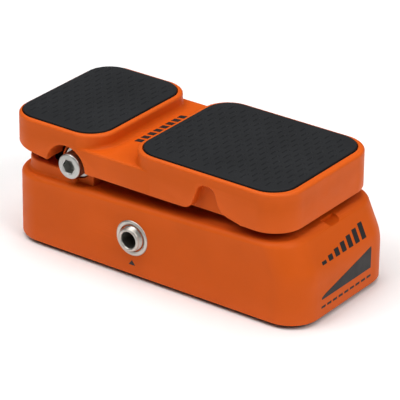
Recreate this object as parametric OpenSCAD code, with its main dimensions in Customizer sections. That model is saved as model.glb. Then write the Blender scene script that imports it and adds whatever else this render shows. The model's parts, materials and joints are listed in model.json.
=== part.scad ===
// Compact volume pedal: a die-cast base with a rocking treadle that turns a potentiometer.
// Frame: millimetres, +X towards the toe, +Y to the output side, +Z up.
// The origin is on the floor, under the middle of the base.

/* [Base] */
// Length of the base
base_l = 134; // [132:1:136]
// Width of the base
base_w = 61; // [60:0.5:62]
// Height of the deck above the base's lower edge, at mid length
deck_h = 29.1; // [28.6:0.1:29.4]
// Slope of the deck, rising towards the toe, in degrees
deck_slope = 2.2; // [1.8:0.1:2.4]
// Corner radius at the toe
toe_corner_r = 12; // [11:0.5:13]
// Corner radius at the heel
heel_corner_r = 14; // [13:0.5:15]
// Wall of the casting
wall = 2.5; // [2.2:0.1:2.8]
// How far the rubber feet hold the base above the floor
foot_gap = 1.5; // [1:0.1:2]

/* [Treadle] */
// Toe end of the treadle, from the middle of the base
treadle_toe = 59; // [57:0.5:59.5]
// Width of the treadle
treadle_w = 60.4; // [59.6:0.2:60.8]
// Top of the treadle's two plateaus
treadle_top = 49.9; // [49.5:0.1:50.4]
// Floor of the valley between the plateaus
valley_h = 44.4; // [44:0.1:45]
// Lower edge of the skirt
skirt_h = 34.5; // [34.5:0.1:35]
// Slope of the skirt's lower edge at the heel, in degrees
heel_slope = 13.6; // [12:0.2:14]

/* [Pads] */
// Thickness of the rubber pads
pad_t = 2.2; // [2:0.1:2.6]
// Depth of the pockets that hold the pads
pocket_t = 1.6; // [1.4:0.1:1.8]
// Gap around each pad
pad_gap = 0.4; // [0.2:0.1:0.6]

/* [Hinge] */
// Hinge axis, from the middle of the base
hinge_x = -36.8; // [-37.2:0.1:-36.4]
// Height of the hinge axis above the base's lower edge
hinge_z = 36; // [35.8:0.1:36.2]
// Radius of the hinge shaft
shaft_r = 4; // [3.5:0.1:4.2]
// Running clearance of the shaft in its bushings
shaft_play = 0.03; // [0.02:0.01:0.05]

/* [Jacks] */
// Place of the input jack along the base
jack_x = -7.7; // [-8.5:0.1:-7]
// How much nearer the heel the output jack sits
jack_stagger = 4; // [3:0.5:5]
// Height of the jack axis above the base's lower edge
jack_z = 15.2; // [14.8:0.1:15.6]
// Radius of the plug hole
jack_bore_r = 3.2; // [3.2:0.01:3.3]

/* [Drive] */
// Angle of the mesh point below the hinge's horizontal, in degrees
mesh_angle = 15; // [15:0.1:15.2]
// Backlash between the teeth
backlash = 0.2; // [0.15:0.01:0.3]

/* [Hidden] */
$fn = 64;

casting = "#d2601e";
rubber = "#2b2b2d";
steel = "#b9bcc0";
nickel = "#c9cacc";
plastic = "#1b1b1d";
bronze = "#b08a4a";
brass = "#c9a54f";
wire_red = "#8a2f2a";

eps = 0.01;
// How far a cut runs past a face, and a root into its neighbour
over = 1;
side_signs = [-1, 1];

// Base casting
half_l = base_l / 2;
half_w = base_w / 2;
toe_face_h = 17.5;
toe_lean = [5.8, 12.4];
tall = 60;
lean_top = 40;
coaming_inset = 3.5;
coaming_wall = 2.3;
coaming_h = 32;
coaming_toe = -30;
ear_in = 20;
ear_out = 25.3;
ear_r = 7.4;
ear_root_h = 24;
spot_y = 23.3;
spot_r = 6.6;
plate_t = 2;
plate_z = 0.3;
plate_lap = 1.3;
plate_gap = 0.2;
boss_r = 3.5;
boss_at = [[-56, 21.5], [22, 25], [56.5, 21.5]];
notch_half = 4.6;
notch_z = 29.2;
notch_x = 57;
notch_r = 2.4;

// Small screws
m3_r = 1.5;
m3_head_r = 2.8;
m3_head_h = 1.8;
m3_sink_r = 3;
m3_sink_h = 1.6;
m3_hex = 2;
m3_hex_deep = 1;
screw_play = 0.02;
plate_screw_l = 10;
plate_hole_l = 12;
m3_head_edge = 0.4;

// Feet and bumpers
foot_r = 7;
foot_x = 45;
foot_y = 19.5;
foot_t = foot_gap + plate_z;
foot_edge = 0.5;
bumper_r = 4.5;
bumper_seat = 1;
bumper_dome = 1.2;
toe_bumper = [47, 16];
toe_bumper_top = 33.4;
toe_post_h = 36;
heel_bumper = [-55, 9];
heel_bumper_top = 31.6;
heel_post_h = 36.6;
post_r = 3.2;

// Hinge hardware
bushing_r = 5.2;
flange_r = 6.2;
flange_t = 0.8;
shaft_end = 24.2;
hinge_washer_t = 0.8;
hinge_washer_r = 6;
m6_r = 3;
m6_head_r = 5;
m6_head_h = 6;
m6_hex = 5;
m6_hex_deep = 3.2;
m6_edge = 0.6;
m6_washer_play = 0.1;
m6_l = 13;
m6_hole_l = 14.2;
lug_in = 11;
lug_out = 19.6;
lug_r = 7;

// Jacks
jack_nut_r = 7.25;
jack_spot_r = 7.6;
jack_spot_t = 0.8;
jack_nut_t = 1.3;
jack_nut_lip = 6.2;
jack_slot_w = 1.4;
jack_slot_in = 5.1;
jack_front = 33.1;
jack_sleeve_r = 4.75;
jack_sleeve_end = 20;
jack_tip_r = 4.1;
jack_tip_l = 0.7;
jack_panel_play = 0.15;
jack_body_half = 9;
jack_body_half_h = 7.6;
jack_body_end = 3.2;
jack_body_edge = 1.5;
lug_xs = [-5.4, 5.4];
jack_lug_y = 10;
jack_lug_w = 2;
jack_lug_t = 0.6;
jack_lug_low = 3.8;
jack_lug_deep = 3;
jack_seat = half_w - wall;

// Treadle
treadle_heel = -half_l;
tread_half = treadle_w / 2;
treadle_heel_r = 11.7;
treadle_toe_r = 12.1;
top_t = 2.6;
valley_t = 2.8;
heel_plateau_end = -23.8;
toe_plateau_start = -11.2;
plateau_r = 11.4;
skirt_break = -45.5;
arch_x = -37.5;
arch_z = 35.3;
arch_r = 8;
heel_edge_rise = 1.2;
bell_depth = 2.1;
bell_back = 1.7;
bell_left = 13.5;
bell_right = 42.3;
bell_low = 25;
bell_wall_x = [15.5, 36.3];
// Corner points of the notch outline, each with its radius
bell_corners = [
    [bell_left, bell_low, 0], [bell_left, skirt_h, 0], [19.8, skirt_h, 5], [23.6, 46.6, 3.2],
    [28.4, 46.6, 3], [31.1, skirt_h + 2.2, 7], [bell_right, skirt_h - 0.4, 4], [bell_right, bell_low, 0]
];

// Pads
heel_pad_x = [-65.6, -26];
toe_pad_x = [-9.1, 55.9];
pad_half = 28.3;
pad_corner_r = 9.9;
pad_edge = 0.4;
pocket_floor = treadle_top - pocket_t;

// Gear drive: the sector is cut from a gear of sector_teeth
sector_teeth = 120;
pinion_teeth = 12;
module_mm = 1;
pressure = 20;
sector_addendum = 0.65;
pinion_addendum = 1;
dedendum = 1.25;
sector_r = module_mm * sector_teeth / 2;
pinion_r = module_mm * pinion_teeth / 2;
centre_gap = 0.05;
drive_x = hinge_x + (sector_r + pinion_r + centre_gap) * cos(mesh_angle);
drive_z = hinge_z - (sector_r + pinion_r + centre_gap) * sin(mesh_angle);
sector_in = 51;
sector_t = 3;
sector_low = 31.1;
sector_high = 5;
sector_first = -5;
sector_last = 2;
flank_steps = 6;
root_lap = 0.4;
sector_foot_x = [9, 29];
sector_foot_half = 7.5;
sector_foot_t = 2.5;
sector_pad_h = 42;
sector_screw_x = 19;
sector_screw_y = 4.8;
sector_screw_l = 6;
sector_hole_l = 5.5;
slot_x = [11.8, 25.2];
slot_half = 3.2;
slot_low = 20;

// Potentiometer
spindle_r = 3;
spindle_start = -2.6;
spindle_end = 14.5;
pinion_t = 4.4;
hub_r = 4.4;
hub_end = 4.6;
set_screw_r = 0.9;
spindle_play = 0.03;
pot_r = 8;
pot_front = 9;
pot_back = 17.5;
pot_edge = 0.8;
pot_room_end = 15;
pot_room_play = 0.3;
pot_bush_r = 3.8;
pot_bush_front = 5.2;
pot_nut_af = 10;
pot_nut_t = 1.6;
pot_washer_r = 5.6;
pot_washer_t = 0.5;
bracket_t = 1.5;
bracket_half = 9.5;
bracket_z = [-8.5, 6.5];
tab_w = 7.5;
tab_z = 17.5;
tab_end = 18.5;
tab_root = 3;
tab_screw_y = 14.2;
bracket_screw_x = 13.3;
bracket_screw_l = 7;
bracket_hole_l = 8;
pot_lug_xs = [-4, 0, 4];
pot_lug_y = 13;
pot_lug_low = 6;
pot_lug_w = 1.6;
pot_lug_l = 7.5;
wire_r = 0.6;
wire_z = 4.9;

function unit(v) = v / norm(v);
function deck_z(x) = deck_h + x * tan(deck_slope);
function turn(v, a) = [v[0] * cos(a) - v[1] * sin(a), v[0] * sin(a) + v[1] * cos(a)];

// One outline corner replaced by an arc of radius r
function corner_arc(before, at, after, r, steps) =
    let (
        a = unit(before - at),
        b = unit(after - at),
        half = acos(a * b) / 2,
        centre = at + unit(a + b) * r / sin(half),
        start = at + a * r / tan(half) - centre,
        sweep = (180 - 2 * half) * -sign(cross(a, b))
    )
    [for (i = [0:steps]) centre + turn(start, sweep * i / steps)];

// An outline whose corners are [x, y, radius]
function rounded(corners, steps = 10) =
    let (n = len(corners))
    [
        for (i = [0:n - 1])
            let (
                p = corners[i],
                q = corners[(i + n - 1) % n],
                s = corners[(i + 1) % n],
                at = [p[0], p[1]]
            )
            each p[2] == 0 ? [at] : corner_arc([q[0], q[1]], at, [s[0], s[1]], p[2], steps)
    ];

// Plan outline with one radius at the heel corners and one at the toe corners
function plan(x0, x1, half, r0, r1) =
    rounded([[x0, -half, r0], [x1, -half, r1], [x1, half, r1], [x0, half, r0]]);

module lift() {
    translate([0, 0, foot_gap]) children();
}

// A plan outline raised between two heights
module slab(points, z0, z1) {
    translate([0, 0, z0]) linear_extrude(z1 - z0) polygon(points);
}

// A side-view outline (x, z) drawn across the width, from y0 to y1
module across(y0, y1) {
    translate([0, y1, 0]) rotate([90, 0, 0]) linear_extrude(y1 - y0) children();
}

// A round bar along Y, at x and z
module bar(x, z, r, y0, y1) {
    translate([x, y0, z]) rotate([-90, 0, 0]) cylinder(h = y1 - y0, r = r);
}

// A six-sided bar along Y, by its width across flats
module hex_bar(x, z, flats, y0, y1) {
    translate([x, y0, z]) rotate([-90, 0, 0]) cylinder(h = y1 - y0, r = flats / 2 / cos(30), $fn = 6);
}

module both_sides() {
    children();
    mirror([0, 1, 0]) children();
}

// ---- Base ----

// The base's outline raised to a great height, its toe end leaning inwards above toe_face_h
module leaning_body(inset, low) {
    lean = toe_lean[0] / toe_lean[1] * (lean_top - toe_face_h);
    hull() {
        slab(plan(-half_l + inset, half_l - inset, half_w - inset,
            heel_corner_r - inset, toe_corner_r - inset), low, toe_face_h);
        slab(plan(-half_l + inset, half_l - inset - lean, half_w - inset,
            heel_corner_r - inset, toe_corner_r - inset), lean_top - eps, lean_top);
    }
}

// The base as a solid, drawn in by inset on every side and on the deck
module base_solid(inset, low) {
    intersection() {
        leaning_body(inset, low);
        across(-half_w, half_w) polygon([
            [-half_l, low], [half_l, low],
            [half_l, deck_z(half_l) - inset], [-half_l, deck_z(-half_l) - inset]
        ]);
    }
}

module coaming() {
    slab(plan(-half_l + coaming_inset, coaming_toe, half_w - coaming_inset,
        heel_corner_r - coaming_inset, coaming_wall / 2), ear_root_h, coaming_h);
}

module coaming_room() {
    slab(plan(-half_l + coaming_inset + coaming_wall, coaming_toe + coaming_wall,
        half_w - coaming_inset - coaming_wall,
        heel_corner_r - coaming_inset - coaming_wall, coaming_wall / 2), ear_root_h - over, tall);
}

module ear() {
    across(ear_in, ear_out) union() {
        translate([hinge_x, hinge_z]) circle(ear_r);
        translate([hinge_x - ear_r, ear_root_h]) square([2 * ear_r, hinge_z - ear_root_h]);
    }
}

module plate_bosses() {
    intersection() {
        base_solid(wall / 2, plate_z);
        for (p = boss_at, s = side_signs) {
            translate([p[0], s * p[1], plate_z + plate_t]) cylinder(h = tall, r = boss_r);
        }
    }
}

module bracket_bosses() {
    intersection() {
        base_solid(wall / 2, plate_z);
        for (s = side_signs) {
            translate([drive_x + s * bracket_screw_x, tab_screw_y, tab_z + bracket_t])
                cylinder(h = tall, r = boss_r);
        }
    }
}

// The input jack's panel hole and spot face
module jack_hole() {
    bar(jack_x, jack_z, jack_sleeve_r + jack_panel_play, -half_w - over, -jack_seat + over);
    bar(jack_x, jack_z, jack_spot_r, -half_w - over, jack_spot_t - half_w);
}

// The pieces that the base casting is cut by
module base_cuts() {
    slab(plan(-half_l + plate_lap, half_l - plate_lap, half_w - plate_lap,
        heel_corner_r - plate_lap, toe_corner_r - plate_lap), -over, plate_z + plate_t);
    both_sides() {
        bar(hinge_x, hinge_z, bushing_r, ear_in - over, ear_out + over);
        bar(hinge_x, hinge_z, spot_r, spot_y, half_w);
    }
    jack_hole();
    translate([-jack_stagger, 0, 0]) mirror([0, 1, 0]) jack_hole();
    for (p = boss_at, s = side_signs) {
        translate([p[0], s * p[1], 0]) cylinder(h = plate_hole_l, r = m3_r);
    }
    for (s = side_signs) {
        translate([drive_x + s * bracket_screw_x, tab_screw_y, tab_z])
            cylinder(h = bracket_hole_l, r = m3_r);
        for (b = [toe_bumper, heel_bumper]) {
            translate([b[0], s * b[1], deck_z(b[0]) - bumper_seat])
                cylinder(h = tall, r = bumper_r + screw_play);
        }
    }
    translate([slot_x[0], -slot_half, slot_low]) cube([slot_x[1] - slot_x[0], 2 * slot_half, tall]);
    translate([notch_x, 0, 0]) rotate([90, 0, 90]) linear_extrude(tall) polygon(rounded([
        [-notch_half, notch_z, notch_r], [notch_half, notch_z, notch_r],
        [notch_half, tall, 0], [-notch_half, tall, 0]
    ], 6));
}

module base_shell() {
    color(casting) lift() difference() {
        union() {
            difference() {
                union() {
                    base_solid(0, 0);
                    difference() {
                        coaming();
                        coaming_room();
                    }
                    both_sides() ear();
                }
                base_solid(wall, -over);
            }
            plate_bosses();
            bracket_bosses();
        }
        base_cuts();
    }
}

module bottom_plate() {
    inset = plate_lap + plate_gap;
    color(plastic) lift() difference() {
        slab(plan(-half_l + inset, half_l - inset, half_w - inset,
            heel_corner_r - inset, toe_corner_r - inset), plate_z, plate_z + plate_t);
        for (p = boss_at, s = side_signs) {
            translate([p[0], s * p[1], 0]) {
                cylinder(h = plate_z + plate_t + over, r = m3_r + 2 * screw_play);
                translate([0, 0, plate_z - eps])
                    cylinder(h = m3_sink_h + screw_play, r1 = m3_sink_r + screw_play, r2 = m3_r);
            }
        }
    }
}

// A countersunk M3 screw, its head down at z = 0
module sunk_screw(l) {
    difference() {
        union() {
            cylinder(h = m3_sink_h, r1 = m3_sink_r, r2 = m3_r - screw_play);
            cylinder(h = l, r = m3_r - screw_play);
        }
        translate([0, 0, -eps]) cylinder(h = m3_hex_deep, r = m3_hex / 2 / cos(30), $fn = 6);
    }
}

// A pan-head M3 screw, its head below z = 0
module pan_screw(l) {
    difference() {
        union() {
            translate([0, 0, -m3_head_h])
                cylinder(h = m3_head_h, r1 = m3_head_r - m3_head_edge, r2 = m3_head_r);
            cylinder(h = l, r = m3_r - screw_play);
        }
        translate([0, 0, -m3_head_h - eps]) cylinder(h = m3_hex_deep, r = m3_hex / 2 / cos(30), $fn = 6);
    }
}

module plate_screws() {
    color(steel) lift() for (p = boss_at, s = side_signs) {
        translate([p[0], s * p[1], plate_z]) sunk_screw(plate_screw_l);
    }
}

module rubber_feet() {
    color(rubber) for (sx = side_signs, sy = side_signs) {
        translate([sx * foot_x, sy * foot_y, 0]) foot();
    }
}

module foot() {
    cylinder(h = foot_t / 2, r1 = foot_r - foot_edge, r2 = foot_r);
    translate([0, 0, foot_t / 2]) cylinder(h = foot_t / 2, r = foot_r);
}

// A rubber stop with a domed top, pressed into a seat in the deck
module bumper(at, top) {
    seat = deck_z(at[0]) - bumper_seat;
    translate([at[0], at[1], seat]) {
        cylinder(h = top - seat - bumper_dome, r = bumper_r);
        translate([0, 0, top - seat - bumper_dome])
            cylinder(h = bumper_dome, r1 = bumper_r, r2 = bumper_r - bumper_dome);
    }
}

module toe_bumpers() {
    color(rubber) lift() for (s = side_signs) bumper([toe_bumper[0], s * toe_bumper[1]], toe_bumper_top);
}

module heel_bumpers() {
    color(rubber) lift() for (s = side_signs) bumper([heel_bumper[0], s * heel_bumper[1]], heel_bumper_top);
}

module hinge_bushings() {
    color(bronze) lift() both_sides() difference() {
        union() {
            bar(hinge_x, hinge_z, bushing_r, ear_in, spot_y);
            bar(hinge_x, hinge_z, flange_r, spot_y, spot_y + flange_t);
        }
        bar(hinge_x, hinge_z, shaft_r + shaft_play, ear_in - over, ear_out);
    }
}

// ---- Jacks, drawn on the +Y side: shifted for the output, mirrored for the input ----

module output_side() {
    lift() translate([-jack_stagger, 0, 0]) children();
}

module input_side() {
    lift() mirror([0, 1, 0]) children();
}

module jack_body() {
    difference() {
        translate([jack_x, 0, jack_z]) across(jack_body_end, jack_seat) polygon(rounded([
            [-jack_body_half, -jack_body_half_h, jack_body_edge],
            [jack_body_half, -jack_body_half_h, jack_body_edge],
            [jack_body_half, jack_body_half_h, jack_body_edge],
            [-jack_body_half, jack_body_half_h, jack_body_edge]
        ], 4));
        bar(jack_x, jack_z, jack_sleeve_r, jack_sleeve_end, half_w);
        bar(jack_x, jack_z, jack_bore_r, jack_body_end - over, half_w);
        jack_lugs();
    }
}

// Two solder lugs, rooted in the jack's body
module jack_lugs() {
    lug_top = jack_z - jack_body_half_h + jack_lug_deep;
    for (dx = lug_xs) {
        translate([jack_x + dx - jack_lug_w / 2, jack_lug_y, jack_lug_low])
            cube([jack_lug_w, jack_lug_t, lug_top - jack_lug_low]);
    }
}

module jack_bushing() {
    difference() {
        union() {
            bar(jack_x, jack_z, jack_sleeve_r, jack_sleeve_end, jack_front - jack_tip_l);
            translate([jack_x, jack_front - jack_tip_l, jack_z]) rotate([-90, 0, 0])
                cylinder(h = jack_tip_l, r1 = jack_sleeve_r, r2 = jack_tip_r);
        }
        bar(jack_x, jack_z, jack_bore_r, jack_sleeve_end - over, jack_front + over);
    }
}

module jack_nut() {
    seat = half_w - jack_spot_t;
    difference() {
        union() {
            bar(jack_x, jack_z, jack_nut_r, seat, seat + jack_nut_t / 2);
            translate([jack_x, seat + jack_nut_t / 2, jack_z]) rotate([-90, 0, 0])
                cylinder(h = jack_nut_t / 2, r1 = jack_nut_r, r2 = jack_nut_lip);
        }
        bar(jack_x, jack_z, jack_sleeve_r, seat - over, jack_front);
        translate([jack_x - jack_slot_w / 2, seat + jack_nut_t / 2, jack_z - jack_nut_r])
            cube([jack_slot_w, jack_nut_t, jack_nut_r - jack_slot_in]);
        translate([jack_x - jack_slot_w / 2, seat + jack_nut_t / 2, jack_z + jack_slot_in])
            cube([jack_slot_w, jack_nut_t, jack_nut_r - jack_slot_in]);
    }
}

module output_jack_body() {
    color(plastic) output_side() jack_body();
}

module input_jack_body() {
    color(plastic) input_side() jack_body();
}

module output_jack_bushing() {
    color(nickel) output_side() jack_bushing();
}

module input_jack_bushing() {
    color(nickel) input_side() jack_bushing();
}

module output_jack_nut() {
    color(nickel) output_side() jack_nut();
}

module input_jack_nut() {
    color(nickel) input_side() jack_nut();
}

module output_jack_lugs() {
    color(brass) output_side() jack_lugs();
}

module input_jack_lugs() {
    color(brass) input_side() jack_lugs();
}

// ---- Potentiometer and its bracket ----

module pot_bracket() {
    left = drive_x - bracket_screw_x - tab_w / 2;
    color(steel) lift() difference() {
        union() {
            translate([drive_x - bracket_half, pot_front - bracket_t, drive_z + bracket_z[0]])
                cube([2 * bracket_half, bracket_t, bracket_z[1] - bracket_z[0]]);
            translate([left, pot_front - bracket_t, tab_z - tab_root])
                cube([2 * bracket_screw_x + tab_w, bracket_t, tab_root + bracket_t]);
            for (s = side_signs) {
                translate([drive_x + s * bracket_screw_x - tab_w / 2, pot_front - bracket_t, tab_z])
                    cube([tab_w, tab_end - pot_front + bracket_t, bracket_t]);
            }
        }
        bar(drive_x, drive_z, pot_bush_r, 0, pot_front + over);
        for (s = side_signs) {
            translate([drive_x + s * bracket_screw_x, tab_screw_y, tab_z - over])
                cylinder(h = bracket_t + 2 * over, r = m3_r + 2 * screw_play);
        }
    }
}

module bracket_screws() {
    color(steel) lift() for (s = side_signs) {
        translate([drive_x + s * bracket_screw_x, tab_screw_y, tab_z]) pan_screw(bracket_screw_l);
    }
}

module pot_body() {
    color(plastic) lift() difference() {
        union() {
            bar(drive_x, drive_z, pot_r, pot_front, pot_back - pot_edge);
            translate([drive_x, pot_back - pot_edge, drive_z]) rotate([-90, 0, 0])
                cylinder(h = pot_edge, r1 = pot_r, r2 = pot_r - pot_edge);
        }
        bar(drive_x, drive_z, spindle_r + pot_room_play, pot_front - over, pot_room_end);
        pot_lug_boxes();
    }
}

module pot_bushing() {
    color(nickel) lift() difference() {
        bar(drive_x, drive_z, pot_bush_r, pot_bush_front, pot_front);
        bar(drive_x, drive_z, spindle_r + spindle_play, pot_bush_front - over, pot_front + over);
    }
}

module pot_washer() {
    back = pot_front - bracket_t;
    color(steel) lift() difference() {
        bar(drive_x, drive_z, pot_washer_r, back - pot_washer_t, back);
        bar(drive_x, drive_z, pot_bush_r, 0, pot_front);
    }
}

module pot_nut() {
    back = pot_front - bracket_t - pot_washer_t;
    color(brass) lift() difference() {
        hex_bar(drive_x, drive_z, pot_nut_af, back - pot_nut_t, back);
        bar(drive_x, drive_z, pot_bush_r, 0, pot_front);
    }
}

module pot_lug_boxes() {
    for (dx = pot_lug_xs) {
        translate([drive_x + dx - pot_lug_w / 2, pot_lug_y, pot_lug_low])
            cube([pot_lug_w, jack_lug_t, pot_lug_l]);
    }
}

module pot_lugs() {
    color(brass) lift() pot_lug_boxes();
}

// A smooth route through hand-placed points
function spline(p, q, r, s, t) =
    q + (r - p) * t / 2 + (2 * p - 5 * q + 4 * r - s) * t * t / 2
    + (3 * q - p - 3 * r + s) * t * t * t / 2;

function route(points, steps = 4) =
    let (last = len(points) - 1)
    [
        for (i = [0:last - 1], k = [0:steps - 1])
            spline(points[max(i - 1, 0)], points[i], points[i + 1], points[min(i + 2, last)], k / steps),
        points[last]
    ];

// A round tube of radius r along a path that is never vertical
module tube(path, r, sides = 8) {
    n = len(path);
    points = [
        for (i = [0:n - 1])
            let (
                ahead = unit(path[min(i + 1, n - 1)] - path[max(i - 1, 0)]),
                right = unit(cross(ahead, [0, 0, 1])),
                above = cross(right, ahead)
            )
            for (k = [0:sides - 1])
                path[i] + r * (right * cos(360 * k / sides) + above * sin(360 * k / sides))
    ];
    skin = [
        for (i = [0:n - 2], k = [0:sides - 1])
            let (next = (k + 1) % sides)
            [i * sides + k, i * sides + next, (i + 1) * sides + next, (i + 1) * sides + k]
    ];
    first_cap = [for (k = [0:sides - 1]) sides - 1 - k];
    last_cap = [for (k = [0:sides - 1]) (n - 1) * sides + k];
    polyhedron(points, concat(skin, [first_cap, last_cap]));
}

module hookup_wires() {
    lug_y = pot_lug_y + jack_lug_t / 2;
    pot_z = pot_lug_low - wire_r;
    jack_y = jack_lug_y + jack_lug_t / 2;
    beside_lug = jack_lug_w / 2 + wire_r;
    hot_x = jack_x + lug_xs[1] + beside_lug;
    out_x = hot_x - jack_stagger;
    ground_x = jack_x - jack_stagger + lug_xs[0] + beside_lug;
    color(wire_red) lift() {
        tube(route([
            [drive_x + pot_lug_xs[0], lug_y, pot_z], [18, 12, wire_z], [8, 8, wire_z],
            [5, 0, wire_z], [4, -8, wire_z], [hot_x, -jack_y, wire_z]
        ]), wire_r);
        tube(route([
            [drive_x + pot_lug_xs[1], lug_y, pot_z], [21, 15, wire_z], [8, 15, wire_z],
            [out_x, jack_y, wire_z]
        ]), wire_r);
        tube(route([
            [drive_x + pot_lug_xs[2], lug_y, pot_z], [28, 17, wire_z], [15, 18, wire_z],
            [4, 18, wire_z], [-8, 16, wire_z], [ground_x, jack_y, wire_z]
        ]), wire_r);
    }
}

// ---- Treadle ----

function heel_edge_z(x) = skirt_h + heel_edge_rise - (x - skirt_break) * tan(heel_slope);

// The treadle's body and its two plateaus, drawn in by inset on every side
module treadle_form(inset, body_top, plateau_top) {
    low = skirt_h - over - inset;
    slab(plan(treadle_heel + inset, treadle_toe - inset, tread_half - inset,
        treadle_heel_r - inset, treadle_toe_r - inset), low, body_top);
    slab(plan(treadle_heel + inset, heel_plateau_end - inset, tread_half - inset,
        treadle_heel_r - inset, plateau_r - inset), low, plateau_top);
    slab(plan(toe_plateau_start + inset, treadle_toe - inset, tread_half - inset,
        plateau_r - inset, treadle_toe_r - inset), low, plateau_top);
}

// Side view of everything above the skirt's lower edge
module above_skirt() {
    polygon([
        [treadle_heel - over, heel_edge_z(treadle_heel - over)], [skirt_break, heel_edge_z(skirt_break)],
        [arch_x, skirt_h], [treadle_toe + over, skirt_h],
        [treadle_toe + over, tall], [treadle_heel - over, tall]
    ]);
}

module treadle_outer() {
    intersection() {
        treadle_form(0, valley_h, treadle_top);
        across(-tread_half, tread_half) above_skirt();
    }
}

// The hollow under the treadle
module treadle_room() {
    treadle_form(wall, valley_h - valley_t, pocket_floor - top_t);
}

module pad_outline_slab(x_span, grow, z0, z1) {
    slab(plan(x_span[0] - grow, x_span[1] + grow, pad_half + grow,
        pad_corner_r + grow, pad_corner_r + grow), z0, z1);
}

module bell_shape(y0, y1) {
    across(y0, y1) polygon(rounded(bell_corners, 6));
}

// The backing wall behind the side notch
module bell_wall() {
    translate([bell_wall_x[0], tread_half - bell_depth - bell_back, skirt_h])
        cube([bell_wall_x[1] - bell_wall_x[0], bell_back + over, pocket_floor - top_t - skirt_h + over]);
}

module hinge_lug() {
    across(lug_in, lug_out) union() {
        translate([hinge_x, hinge_z]) circle(lug_r);
        translate([hinge_x - lug_r, hinge_z]) square([2 * lug_r, pocket_floor - top_t - hinge_z + over]);
    }
}

module stop_post(at, low) {
    translate([at[0], at[1], low]) cylinder(h = pocket_floor - top_t - low + over, r = post_r);
}

module sector_pad() {
    translate([sector_foot_x[0], -sector_foot_half, sector_pad_h])
        cube([sector_foot_x[1] - sector_foot_x[0], 2 * sector_foot_half,
            pocket_floor - top_t - sector_pad_h + over]);
}

module treadle_shell() {
    color(casting) lift() difference() {
        union() {
            difference() {
                treadle_outer();
                treadle_room();
            }
            both_sides() {
                bell_wall();
                hinge_lug();
                stop_post(toe_bumper, toe_post_h);
                stop_post(heel_bumper, heel_post_h);
            }
            sector_pad();
        }
        pad_outline_slab(heel_pad_x, pad_gap, pocket_floor, tall);
        pad_outline_slab(toe_pad_x, pad_gap, pocket_floor, tall);
        both_sides() {
            bar(arch_x, arch_z, arch_r, tread_half - wall - over, tread_half + over);
            bell_shape(tread_half - bell_depth, tread_half + over);
            bar(hinge_x, hinge_z, shaft_r, lug_in - over, lug_out + over);
        }
        for (s = side_signs) {
            translate([sector_screw_x, s * sector_screw_y, sector_pad_h - over])
                cylinder(h = sector_hole_l, r = m3_r);
        }
    }
}

module pad(x_span) {
    pad_outline_slab(x_span, 0, pocket_floor, pocket_floor + pad_t - pad_edge);
    pad_outline_slab(x_span, -pad_edge, pocket_floor + pad_t - pad_edge, pocket_floor + pad_t);
}

module heel_pad() {
    color(rubber) lift() pad(heel_pad_x);
}

module toe_pad() {
    color(rubber) lift() pad(toe_pad_x);
}

module hinge_shaft() {
    color(steel) lift() difference() {
        bar(hinge_x, hinge_z, shaft_r, -shaft_end, shaft_end);
        both_sides() bar(hinge_x, hinge_z, m6_r, shaft_end - m6_hole_l, shaft_end + over);
    }
}

module hinge_washers() {
    color(steel) lift() both_sides() difference() {
        bar(hinge_x, hinge_z, hinge_washer_r, shaft_end, shaft_end + hinge_washer_t);
        bar(hinge_x, hinge_z, m6_r + m6_washer_play, shaft_end - over, shaft_end + 2 * over);
    }
}

module hinge_screws() {
    seat = shaft_end + hinge_washer_t;
    front = seat + m6_head_h;
    color(steel) lift() both_sides() difference() {
        union() {
            bar(hinge_x, hinge_z, m6_r - screw_play, seat - m6_l, seat);
            bar(hinge_x, hinge_z, m6_head_r, seat, front - m6_edge);
            translate([hinge_x, front - m6_edge, hinge_z]) rotate([-90, 0, 0])
                cylinder(h = m6_edge, r1 = m6_head_r, r2 = m6_head_r - m6_edge);
        }
        hex_bar(hinge_x, hinge_z, m6_hex, front - m6_hex_deep, front + over);
    }
}

// ---- Gear drive ----

function involute(a) = tan(a) * 180 / PI - a;

// Half the angle of a tooth at radius r, for a gear of pitch radius pr
function half_tooth(pr, r) =
    (PI * module_mm / 2 - backlash / 2) / (2 * pr) * 180 / PI
    + involute(pressure) - involute(acos(min(1, pr * cos(pressure) / r)));

// Outline of one tooth centred on the angle at, from root to tip
function tooth(pr, addendum, at) =
    let (
        tip = pr + addendum,
        root = pr - dedendum * module_mm,
        low = max(root, pr * cos(pressure)),
        flank = [for (i = [0:flank_steps]) low + (tip - low) * i / flank_steps],
        n = len(flank)
    )
    concat(
        [turn([root - root_lap, 0], at - half_tooth(pr, low))],
        [for (i = [0:n - 1]) turn([flank[i], 0], at - half_tooth(pr, flank[i]))],
        [for (i = [0:n - 1]) turn([flank[n - 1 - i], 0], at + half_tooth(pr, flank[n - 1 - i]))],
        [turn([root - root_lap, 0], at + half_tooth(pr, low))]
    );

// A strip of a ring between two radii and two angles
function ring_strip(r0, r1, a0, a1, steps) =
    concat(
        [for (i = [0:steps]) turn([r1, 0], a0 + (a1 - a0) * i / steps)],
        [for (i = [0:steps]) turn([r0, 0], a1 + (a0 - a1) * i / steps)]
    );

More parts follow.
